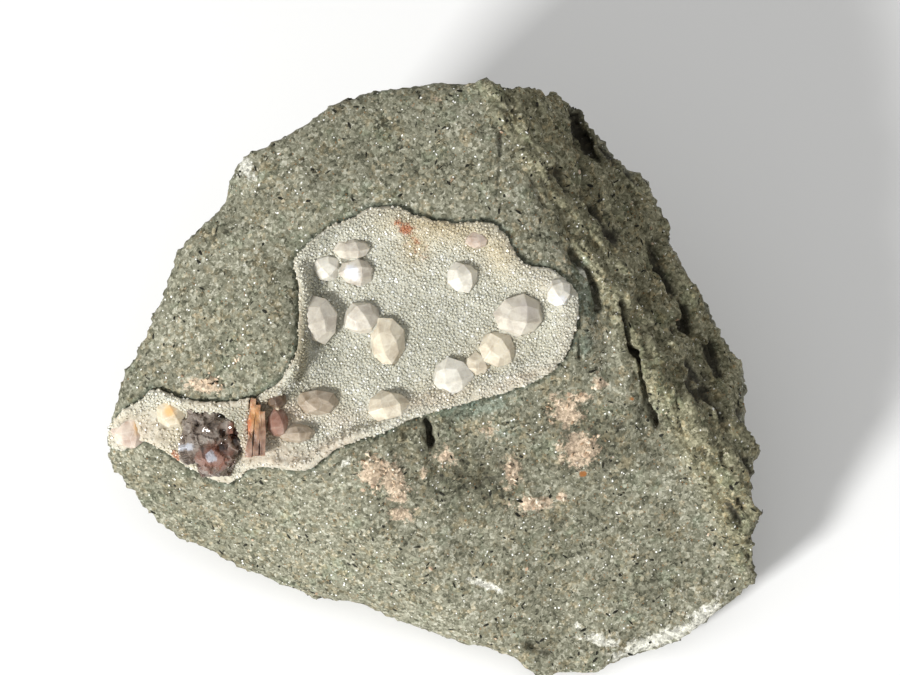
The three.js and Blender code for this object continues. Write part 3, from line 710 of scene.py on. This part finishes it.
crust = {
    "voxel": 0.42, "smoothing": 2, "sugar": (0.9, 0.1), "rimWidth": 1.1, "growth": 0.08,
    "belowCrystals": 0.45, "lumpy": (1.7, 0.5),
}
crustColors = {
    "rust": [
        ((406, 229), (10, 7), 20, 1.0), ((398, 223), (5, 5), 0, 0.9), ((414, 242), (20, 14), 40, 0.5),
        ((424, 252), (18, 14), 0, 0.45), ((176, 457), (7, 8), 0, 0.9), ((300, 462), (10, 6), 0, 0.3),
    ],
    "tan": [
        ((440, 226), (62, 17), 8, 0.9), ((416, 244), (16, 20), 10, 0.9), ((500, 250), (30, 22), 50, 0.7),
        ((478, 240), (18, 12), 0, 1.0), ((490, 352), (40, 20), -25, 0.35), ((318, 400), (22, 12), 0, 0.7),
        ((200, 440), (46, 30), 0, 0.7), ((130, 428), (24, 20), 0, 0.3), ((272, 420), (20, 24), 0, 0.7),
        ((450, 390), (30, 16), 0, 0.4), ((300, 340), (6, 50), 0, 0.7),
    ],
    "cream": [
        ((282, 458), (48, 13), 8, 1.0), ((330, 448), (36, 10), -20, 0.9), ((420, 402), (60, 9), -14, 0.7),
        ((520, 380), (50, 8), -22, 0.8), ((566, 340), (12, 40), 8, 0.3), ((545, 285), (20, 18), 0, 0.4),
        ((140, 430), (34, 24), 0, 0.8), ((222, 400), (34, 7), -4, 1.0), ((212, 484), (26, 8), 0, 0.8),
    ],
    "pink": [
        ((276, 422), (16, 18), 0, 0.9), ((292, 414), (22, 14), 0, 0.5), ((250, 445), (10, 18), 0, 0.5),
        ((340, 420), (20, 14), 0, 0.25),
    ],
    "shade": [
        ((303, 344), (9, 44), 4, 1.0), ((300, 372), (8, 20), 20, 0.9), ((318, 290), (14, 20), 0, 0.7),
        ((330, 352), (18, 30), 0, 0.6), ((420, 330), (60, 50), 0, 0.3), ((262, 410), (9, 18), 0, 0.6),
        ((295, 392), (14, 10), 0, 0.8), ((236, 425), (12, 22), 0, 0.9), ((330, 235), (26, 8), -30, 0.6),
    ],
}


def crustMaterial(name, grainy):
    material = newMaterial(name)
    tree = material.node_tree
    where = objectPlace(tree)
    color = ramp(tree, noiseOver(tree, where, 0.0024, 4.0, 0.7), [
        (0.3, (0.44, 0.43, 0.345)), (0.5, (0.515, 0.50, 0.41)), (0.7, (0.585, 0.57, 0.475))])
    if grainy:
        # Grain tints; the whitest few grains are painted glints.
        own = ramp(tree, valueOf(tree, "tint"), [
            (0.0, (0.43, 0.42, 0.335)), (0.3, (0.50, 0.485, 0.395)), (0.8, (0.56, 0.545, 0.455)),
            (0.95, (0.70, 0.69, 0.61)), (1.0, (0.97, 0.97, 0.94))])
        color = blendColor(tree, 0.6, color, own)
    for mask, amount, factor in (("shade", 1.0, (0.52, 0.53, 0.50)), ("tan", 0.95, (0.84, 0.71, 0.535)),
                                 ("pink", 0.9, (1.05, 0.80, 0.72))):
        color = tinge(tree, times(tree, valueOf(tree, mask), amount), color, factor)
    cream = ramp(tree, noiseOver(tree, where, 0.0014, 5.0, 0.75), [
        (0.34, (0.33, 0.25, 0.175)), (0.5, (0.49, 0.42, 0.325)), (0.68, (0.60, 0.555, 0.465))])
    color = blendColor(tree, times(tree, valueOf(tree, "cream"), 0.85), color, cream)
    spots = maths(tree, "ADD", valueOf(tree, "rust"),
                  aboutZero(tree, noiseOver(tree, where, 0.0009, 4.0, 0.7), 1.5))
    color = blendColor(tree, times(tree, between(tree, spots, 0.35, 0.85), 0.85), color,
                       (0.33, 0.10, 0.035, 1))
    bump = addNode(tree, "ShaderNodeBump", {
        "Height": noiseOver(tree, where, 0.0005, 4.0, 0.7), "Distance": 0.0001 if grainy else 0.00035,
        "Strength": 0.5 if grainy else 0.9})
    shader = addNode(tree, "ShaderNodeBsdfPrincipled", {
        "Base Color": color, "Roughness": 0.25 if grainy else 0.5, "IOR": 1.487, "Normal": bump.outputs[0],
        "Subsurface Weight": 0.6, "Subsurface Radius": (1.0, 0.9, 0.75), "Subsurface Scale": 0.0009})
    closeWith(tree, shader.outputs[0])
    return material


def makeCrust(crystals):
    made = voxelForm("crust_bed", cleanCopy("analcime_crust"), crust["voxel"] * mm, crust["smoothing"])
    mesh = made.data
    points, normals = places(mesh), outwards(mesh)
    face = toFace(points)
    pixels = toPhoto(face)
    top = smoothStep(turnFace(normals, -1)[:, 2], 0.0, 0.3)
    size, height = crust["sugar"]
    rise = top * height * layered(face, size, 2, 21) + crust["growth"]
    rise += top * crust["lumpy"][1] * np.maximum(0, layered(face, crust["lumpy"][0], 3, 25)) * smoothStep(
        patches(pixels, crustColors["cream"]), 0.2, 0.7)
    fromCrystals = depths(crystals, points) / mm
    rise -= crust["belowCrystals"] * (1 - smoothStep(fromCrystals, 0.0, 0.25))
    move(mesh, points + normals * rise[:, None] * mm)
    toRock = distances(treeOver(cleanCopy("basalt")), points) / mm
    rim = 1 - smoothStep(toRock, 0.5, crust["rimWidth"])
    masks = {name: patches(pixels, spots) * top for name, spots in crustColors.items()}
    masks["cream"] = np.maximum(masks["cream"], 0.7 * rim * (0.6 + 0.4 * lumps(face, 2.5, 23)))
    for name, values in masks.items():
        keepValue(mesh, name, values)
    shadeSmooth(mesh)
    finishPiece(made, crustMaterial("crust", False), ["analcime_crust"])
    return mesh, pixels, top, rim


druse = {
    "spacing": 0.36, "crowding": 7.6, "smallest": (0.38, 0.38, 0.38), "largest": (0.78, 0.78, 0.78),
    "tumble": 180, "seed": 8, "corner": 0.36,
}


def makeDruse(bed, pixels, top, rim, crystals):
    corners = [Vector(c) for c in itertools.product((-1, 0, 1), repeat=3) if sum(map(abs, c)) == 2]
    grain = grainObject("druse_crystal", [corner * druse["corner"] for corner in corners])
    fromCrystals = depths(crystals, places(bed)) / mm
    smoothParts = patches(pixels, crustColors["cream"][:2] + crustColors["cream"][6:])
    share = top * (1 - 0.6 * rim) * smoothStep(fromCrystals, 0.05, 0.35)
    share *= 1 - 0.6 * smoothStep(smoothParts, 0.15, 0.45)
    made = scatterOver("druse", bed, share, grain, druse, crustMaterial("druse", True))
    finishPiece(made)


# Large crystals: where each stands in face coordinates, its size across, up and out of the face, its turns
# and its finish

largeCrystals = {
    "plumper": 0.3, "bevel": 0.08, "finest": 0.5, "waves": (1.8, 0.03),
    "rows": [
        ((-13.1, 21.2), (6.6, 3.9, 3.8), (10, 20, 5), "milky"),
        ((-17.4, 18), (5.3, 4.8, 3.8), (35, 10, 40), "white"),
        ((-12.3, 17.3), (6.3, 4.9, 4.2), (-20, 15, 10), "milky"),
        ((-18.8, 9.3), (7.2, 8.6, 6), (15, -25, 20), "milky"),
        ((-11.5, 9.6), (6.6, 6, 4.4), (40, 30, 15), "milky"),
        ((-7.1, 5.7), (6.2, 9.2, 5), (25, -10, 30), "cream"),
        ((5.4, 16.4), (5.8, 5.4, 4.2), (-15, 30, 25), "white"),
        ((15, 10), (9, 7.6, 5.4), (20, 15, -10), "milky"),
        ((11.4, 4.3), (6.6, 6.8, 4.4), (-30, 10, 45), "cream"),
        ((7.9, 1.6), (5, 4.6, 3.6), (10, 40, 5), "cream"),
        ((3.9, -0.4), (7.4, 7, 5), (20, -20, 15), "white"),
        ((-6.8, -5.6), (8.2, 6.2, 5.4), (-15, 25, 20), "cream"),
        ((-19, -4.6), (7.6, 4.8, 4.6), (30, 0, 45), "smoky"),
        ((21.6, 13.8), (4.4, 5, 3), (50, 20, 30), "white"),
        ((7.8, 22.6), (4, 2.8, 2.2), (0, 60, 25), "pinkish"),
        ((-43.6, -6.2), (5.6, 5.8, 3.8), (10, 10, 30), "yellowed"),
        ((-51, -9), (6.8, 7.8, 4), (25, 20, 0), "pinkish"),
        ((-25.6, -8), (3.8, 5, 3.6), (10, 30, 20), "rosy"),
        ((-22.6, -9.8), (6.6, 3.2, 3.2), (0, 10, 8), "smoky"),
        ((-25.8, -4.2), (3.4, 3, 2.8), (20, 0, 30), "brown"),
    ],
}
clearFinishes = {  # how much of the light passes through
    "milky": 0.08, "rosy": 0.5, "smoky": 0.25, "brown": 0.5,
}
crystalTints = {  # deeper part and pale part of each finish
    "milky": ((0.42, 0.375, 0.31), (0.60, 0.56, 0.475)),
    "white": ((0.50, 0.47, 0.40), (0.655, 0.63, 0.555)),
    "cream": ((0.44, 0.375, 0.28), (0.60, 0.545, 0.43)),
    "smoky": ((0.30, 0.23, 0.155), (0.49, 0.41, 0.315)),
    "rosy": ((0.34, 0.15, 0.10), (0.54, 0.34, 0.265)),
    "yellowed": ((0.44, 0.36, 0.23), (0.56, 0.50, 0.385)),
    "pinkish": ((0.36, 0.27, 0.215), (0.52, 0.44, 0.365)),
    "brown": ((0.10, 0.055, 0.03), (0.26, 0.17, 0.10)),
}
crystalColors = {
    # Painted reflection: bluish-white patches standing for the sky reflected off crystal faces.
    "paintedReflection": [((352, 272), (9, 7), 30, 1.0), ((355, 276), (6, 6), 0, 0.9), ((560, 302), (9, 8), 0, 0.7)],
    # Grey patches on crystal faces; the one at (300, 335) is painted shadow cast by the hollow's left rim.
    "greyAndShadow": [((528, 307), (13, 10), 0, 1.0), ((352, 320), (8, 12), 0, 0.4), ((300, 335), (6, 14), -10, 0.9),
             ((462, 264), (10, 5), 0, 0.5)],
    "amber": [((169, 411), (7, 7), 0, 1.0), ((139, 424), (6, 12), 8, 1.0), ((378, 345), (6, 14), 0, 0.25)],
}


def crystalMaterial(tint):
    deep, pale = crystalTints[tint]
    material = newMaterial("analcime " + tint)
    tree = material.node_tree
    where = objectPlace(tree)
    color = ramp(tree, noiseOver(tree, where, 0.0024, 5.0, 0.7), [
        (0.36, deep), (0.56, pale), (0.8, tuple(part * 1.08 for part in pale))])
    veins = between(tree, grainsOver(tree, where, 0.0021, "DISTANCE_TO_EDGE").outputs[0], 0.06, 0.0)
    color = blendColor(tree, times(tree, veins, 0.2), color, (0.80, 0.78, 0.70, 1))
    # The first mask also paints a shadow on one crystal, and the last mask paints a reflection.
    for mask, amount, fill in (("greyAndShadow", 0.55, (0.46, 0.42, 0.39)), ("amber", 0.8, (0.60, 0.33, 0.09)),
                               ("paintedReflection", 0.8, (0.84, 0.87, 0.94))):
        share = maths(tree, "ADD", valueOf(tree, mask), aboutZero(tree, noiseOver(tree, where, 0.0012), 0.8))
        color = blendColor(tree, times(tree, between(tree, share, 0.15, 0.95), amount), color, (*fill, 1))
    steps = addNode(tree, "ShaderNodeBump", {
        "Height": noiseOver(tree, where, 0.0009, 3.0, 0.55), "Distance": 0.0001, "Strength": 0.4})
    shader = addNode(tree, "ShaderNodeBsdfPrincipled", {
        "Base Color": color, "Roughness": 0.32, "IOR": 1.487, "Normal": steps.outputs[0],
        "Subsurface Weight": 0.4, "Subsurface Radius": (1.0, 0.85, 0.62), "Subsurface Scale": 0.0007,
        "Transmission Weight": clearFinishes.get(tint, 0.0)})
    closeWith(tree, shader.outputs[0])
    return material


# A crystal stands where the same crystal of the CAD model stands: their tops meet under a ray square to the
# face.
def standOn(mesh, at, tree):
    down = Vector(turnFace([(0, 0, -1)], 1)[0])
    start = Vector(toPart([(*at, 30)])[0])
    hit = tree.ray_cast(start, down)[0]
    own = BVHTree.FromPolygons([v.co for v in mesh.vertices], [p.vertices for p in mesh.polygons])
    top = own.ray_cast(Vector((0, 0, 1)), Vector((0, 0, -1)))[0].z
    depth = toFace([hit])[0][2] - top / mm
    tilt = Matrix.Rotation(specimen["lean"], 4, "X")
    mesh.transform(Matrix.Translation(Vector(toPart([(*at, depth)])[0])) @ tilt)


def divideEdges(form, longest, rounds=5):
    bmesh.ops.triangulate(form, faces=form.faces[:])
    for _ in range(rounds):
        long = [edge for edge in form.edges if edge.calc_length() > longest * mm]
        bmesh.ops.subdivide_edges(form, edges=long, cuts=1)
        bmesh.ops.triangulate(form, faces=form.faces[:])


def crystalMesh(name, size, turns, bevel, finest):
    mesh = hullMesh(name, [Vector(c) * mm for c in trapezohedronCorners])
    spin = Euler([math.radians(turn) for turn in turns], "ZYX").to_matrix().to_4x4()
    mesh.transform(Matrix.Diagonal((*size, 1)) @ spin)
    form = bmesh.new()
    form.from_mesh(mesh)
    bmesh.ops.bevel(form, geom=form.edges[:], offset=bevel * mm, segments=2, affect="EDGES", profile=0.6)
    divideEdges(form, finest)
    form.to_mesh(mesh)
    form.free()
    return mesh


def makeLargeCrystals():
    tree = treeOver(cleanCopy("analcime_crust"))
    waveSize, height = largeCrystals["waves"]
    together = bmesh.new()
    byFinish = {}
    for i, (at, size, turns, tint) in enumerate(largeCrystals["rows"]):
        full = [value + largeCrystals["plumper"] for value in size]
        mesh = crystalMesh("crystal", full, turns, largeCrystals["bevel"], largeCrystals["finest"])
        standOn(mesh, at, tree)
        points, normals = places(mesh), outwards(mesh)
        rise = height * lumps(toFace(points), waveSize, 30 + i)
        move(mesh, points + normals * rise[:, None] * mm)
        together.from_mesh(mesh)
        byFinish.setdefault(tint, bmesh.new()).from_mesh(mesh)
    for tint, form in byFinish.items():
        mesh = bpy.data.meshes.new(tint + "_crystals")
        form.to_mesh(mesh)
        form.free()
        pixels = toPhoto(toFace(places(mesh)))
        for name, spots in crystalColors.items():
            keepValue(mesh, name, patches(pixels, spots))
        finishPiece(addObject(tint + "_crystals", mesh), crystalMaterial(tint))
    near = BVHTree.FromBMesh(together)
    together.free()
    return near


# Glassy broken crystal

glassy = {
    "at": (-36.9, -11.3), "size": (11.6, 13.4, 8.6), "turns": (24, -14, 33), "bevel": 0.12, "finest": 0.42,
    "breaks": [(3.4, 1.0), (1.5, 0.4)],  # size and height of the broken facets and of the splinters
    "pits": [((226, 411), (8, 6), 20, 1.9), ((195, 421), (5, 3), 30, 1.0), ((223, 431), (4, 4), 0, 1.0),
             ((192, 468), (5, 4), 0, 1.3), ((223, 447), (8, 6), 10, 1.2), ((236, 436), (4, 12), 0, 1.2)],
    "red": [((214, 457), (24, 17), -20, 1.0), ((234, 430), (9, 18), 0, 0.9), ((188, 475), (14, 9), 30, 0.9)],
    "scarlet": [((178, 457), (5, 6), 0, 1.0)],
    # clear: painted glints, bluish-white highlights on the broken facets.
    "clear": [((187, 447), (7, 5), 0, 0.9), ((211, 457), (7, 6), 0, 1.0)],
}


def glassyMaterial():
    material = newMaterial("glassy analcime")
    tree = material.node_tree
    where = objectPlace(tree)
    color = ramp(tree, noiseOver(tree, where, 0.0022, 4.0, 0.65), [
        (0.34, (0.11, 0.075, 0.055)), (0.52, (0.36, 0.30, 0.25)), (0.72, (0.58, 0.53, 0.46))])
    wavy = aboutZero(tree, noiseOver(tree, where, 0.0013, 4.0, 0.7), 1.0)
    # Painted shade: the pits are painted nearly black.
    for mask, fill in (("red", (0.36, 0.16, 0.11)), ("pitShade", (0.03, 0.012, 0.008)),
                       # The clear spots are painted glints.
                       ("scarlet", (0.62, 0.06, 0.03)), ("clear", (0.80, 0.84, 0.92))):
        share = between(tree, maths(tree, "ADD", valueOf(tree, mask), wavy), 0.35, 0.75)
        color = blendColor(tree, times(tree, share, 0.85), color, (*fill, 1))
    bump = addNode(tree, "ShaderNodeBump", {
        "Height": noiseOver(tree, where, 0.0014, 3.0, 0.5), "Distance": 0.0003, "Strength": 0.5})
    shader = addNode(tree, "ShaderNodeBsdfPrincipled", {
        "Base Color": color, "Roughness": 0.08, "IOR": 1.487, "Transmission Weight": 0.55,
        "Normal": bump.outputs[0], "Coat Weight": 0.3, "Coat Roughness": 0.04})
    volume = addNode(tree, "ShaderNodeVolumeAbsorption", {"Color": (0.66, 0.42, 0.34, 1), "Density": 120.0})
    closeWith(tree, shader.outputs[0], volume.outputs[0])
    return material


def makeGlassyCrystal():
    mesh = crystalMesh("glassy_crystal", glassy["size"], glassy["turns"], glassy["bevel"], glassy["finest"])
    standOn(mesh, glassy["at"], treeOver(cleanCopy("glassy_analcime_crystal")))
    points, normals = places(mesh), outwards(mesh)
    face = toFace(points)
    pixels = toPhoto(face)
    rise = sum(height * chips(face, size, 41 + i) for i, (size, height) in enumerate(glassy["breaks"]))
    # The pits are cut in and kept as a mask for their painted shade.
    pitShade = np.zeros(len(points))
    for at, reach, turn, depth in glassy["pits"]:
        deep = patches(pixels, [(at, reach, turn, 1.0)])
        rise -= depth * deep
        pitShade = np.maximum(pitShade, deep)
    move(mesh, points + normals * rise[:, None] * mm)
    keepValue(mesh, "pitShade", pitShade)
    for name in ("red", "scarlet", "clear"):
        keepValue(mesh, name, patches(pixels, glassy[name]))
    shadeSmooth(mesh, False)
    made = addObject("glassy_crystal", mesh)
    finishPiece(made, glassyMaterial(), ["glassy_analcime_crystal"])


# Orange blades

blades = {"bevel": 0.14, "finest": 0.6, "waves": (2.2, 0.3)}
bladeColors = {
    "orange": [((254, 416), (9, 17), 8, 1.0), ((247, 427), (5, 8), 0, 0.9)],
    "redder": [((247, 425), (4, 7), 0, 1.0)],
}


def bladeMaterial():
    material = newMaterial("stilbite")
    tree = material.node_tree
    where = objectPlace(tree)
    cloud = noiseOver(tree, where, 0.002, 4.0, 0.6)
    brown = ramp(tree, cloud, [
        (0.3, (0.14, 0.075, 0.05)), (0.5, (0.31, 0.20, 0.145)), (0.75, (0.50, 0.38, 0.30))])
    orange = ramp(tree, cloud, [
        (0.3, (0.30, 0.13, 0.04)), (0.5, (0.46, 0.23, 0.085)), (0.75, (0.60, 0.40, 0.22))])
    color = blendColor(tree, valueOf(tree, "orange"), brown, orange)
    color = blendColor(tree, times(tree, valueOf(tree, "redder"), 0.8), color, (0.55, 0.11, 0.035, 1))
    bump = addNode(tree, "ShaderNodeBump", {
        "Height": noiseOver(tree, where, 0.0005), "Distance": 0.0001, "Strength": 0.5})
    shader = addNode(tree, "ShaderNodeBsdfPrincipled", {
        "Base Color": color, "Roughness": 0.28, "IOR": 1.5, "Normal": bump.outputs[0],
        "Subsurface Weight": 0.4, "Subsurface Radius": (1.0, 0.5, 0.25), "Subsurface Scale": 0.0012})
    closeWith(tree, shader.outputs[0])
    return material


def makeBlades():
    made = addObject("stilbite_fan", cleanCopy("stilbite_blades"))
    bevel = made.modifiers.new("edges", "BEVEL")
    bevel.width = blades["bevel"] * mm
    bevel.segments = 2
    bevel.limit_method = "ANGLE"
    settled(made)
    form = bmesh.new()
    form.from_mesh(made.data)
    divideEdges(form, blades["finest"])
    form.to_mesh(made.data)
    form.free()
    points, normals = places(made.data), outwards(made.data)
    face = toFace(points)
    size, height = blades["waves"]
    rise = height * layered(face, size, 3, 51)
    move(made.data, points + normals * rise[:, None] * mm)
    for name, spots in bladeColors.items():
        keepValue(made.data, name, patches(toPhoto(face), spots))
    finishPiece(made, bladeMaterial(), ["stilbite_blades"])


# Floor, lights and camera

studio = {
    "lights": {  # direction in face coordinates, distance, size and power
        "key": ((-0.6, -0.42, 0.68), 1.1, 0.2, 17.5),
        "fill": ((0.3, 0.5, 0.8), 1.3, 1.2, 2),
    },
    "sky": 0.48,
}


def addLight(name, direction, distance, size, power):
    light = bpy.data.lights.new(name, "AREA")
    light.size = size
    light.energy = power
    made = bpy.data.objects.new(name, light)
    bpy.context.scene.collection.objects.link(made)
    target = Vector(toPart([(0, 0, 0)])[0])
    away = Vector(turnFace([direction], 1)[0]).normalized()
    made.location = target + away * distance
    made.rotation_euler = away.to_track_quat("Z", "Y").to_euler()


def makeStudio():
    form = bmesh.new()
    bmesh.ops.create_grid(form, x_segments=1, y_segments=1, size=3)
    mesh = bpy.data.meshes.new("floor")
    form.to_mesh(mesh)
    form.free()
    floor = addObject("floor", mesh)
    material = newMaterial("floor")
    tree = material.node_tree
    shader = addNode(tree, "ShaderNodeBsdfPrincipled", {"Base Color": (0.9, 0.9, 0.89, 1), "Roughness": 0.8})
    closeWith(tree, shader.outputs[0])
    mesh.materials.append(material)
    for name, (direction, distance, size, power) in studio["lights"].items():
        addLight(name, direction, distance, size, power)
    world = bpy.data.worlds.new("studio")
    world.use_nodes = True
    world.node_tree.nodes["Background"].inputs["Color"].default_value = (1, 1, 1, 1)
    world.node_tree.nodes["Background"].inputs["Strength"].default_value = studio["sky"]
    bpy.context.scene.world = world
    bpy.context.scene.view_settings.view_transform = "Standard"


def makeCamera():
    lens = bpy.data.cameras.new("camera")
    lens.sensor_width = 36
    lens.lens = lens.sensor_width * photo["distance"] / (photo["width"] * photo["mmPerPixel"])
    lens.clip_start = 0.01
    camera = bpy.data.objects.new("camera", lens)
    bpy.context.scene.collection.objects.link(camera)
    camera.location = toPart([eye])[0]
    camera.rotation_euler = (specimen["lean"], 0, 0)
    bpy.context.scene.camera = camera


makeCamera()
makeStudio()
rockMesh, rockPixels, rockFront, rockClear = makeRock()
makeRockGrains(rockMesh, rockPixels, rockFront, rockClear)
crystalsTree = makeLargeCrystals()
bedMesh, bedPixels, bedTop, bedRim = makeCrust(crystalsTree)
makeDruse(bedMesh, bedPixels, bedTop, bedRim, crystalsTree)
makeGlassyCrystal()
makeBlades()
